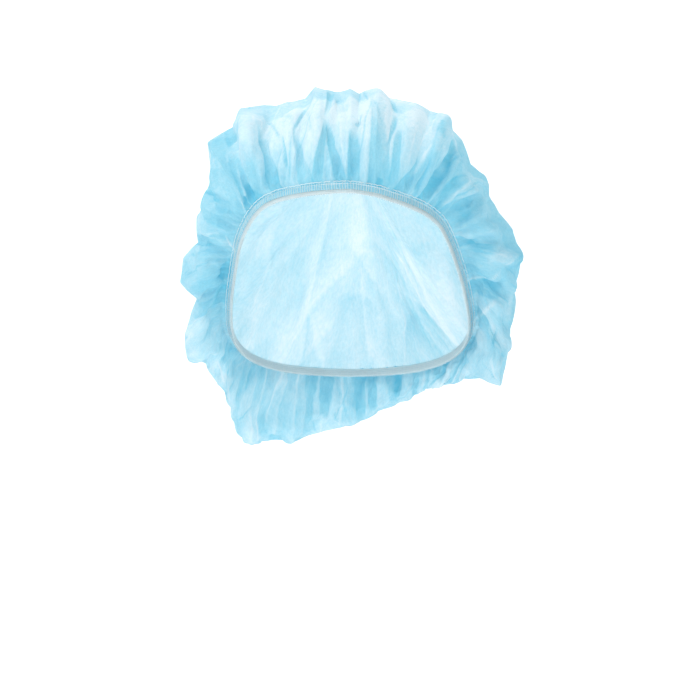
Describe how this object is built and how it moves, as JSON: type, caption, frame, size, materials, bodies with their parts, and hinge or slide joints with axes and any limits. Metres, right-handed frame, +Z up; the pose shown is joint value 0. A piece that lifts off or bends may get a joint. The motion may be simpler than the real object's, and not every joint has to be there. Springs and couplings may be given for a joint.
{
  "type": "disposable hairnet",
  "caption": "Puffed round cap of thin nonwoven cloth, gathered in ruffles on an elastic loop that runs from forehead to nape.",
  "frame": {"origin": "middle of the elastic loop, halfway between its forehead and nape points, inside the head opening", "axes": "+Z up as worn, the face opening toward -Y, the back of the crown toward +Y"},
  "size_m": [0.2201, 0.2339, 0.2371],
  "materials": {
    "nonwoven_cloth": "thin matte spunbond cloth, pale blue, slightly see-through",
    "hem_cloth": "overlocked doubled edge of the same cloth, a deeper blue",
    "elastic_rubber": "off-white elastic strip, matte"
  },
  "bodies": {
    "root": {"crown": "nonwoven_cloth", "hem_band": "hem_cloth", "elastic": "elastic_rubber"}
  },
  "joints": []
}
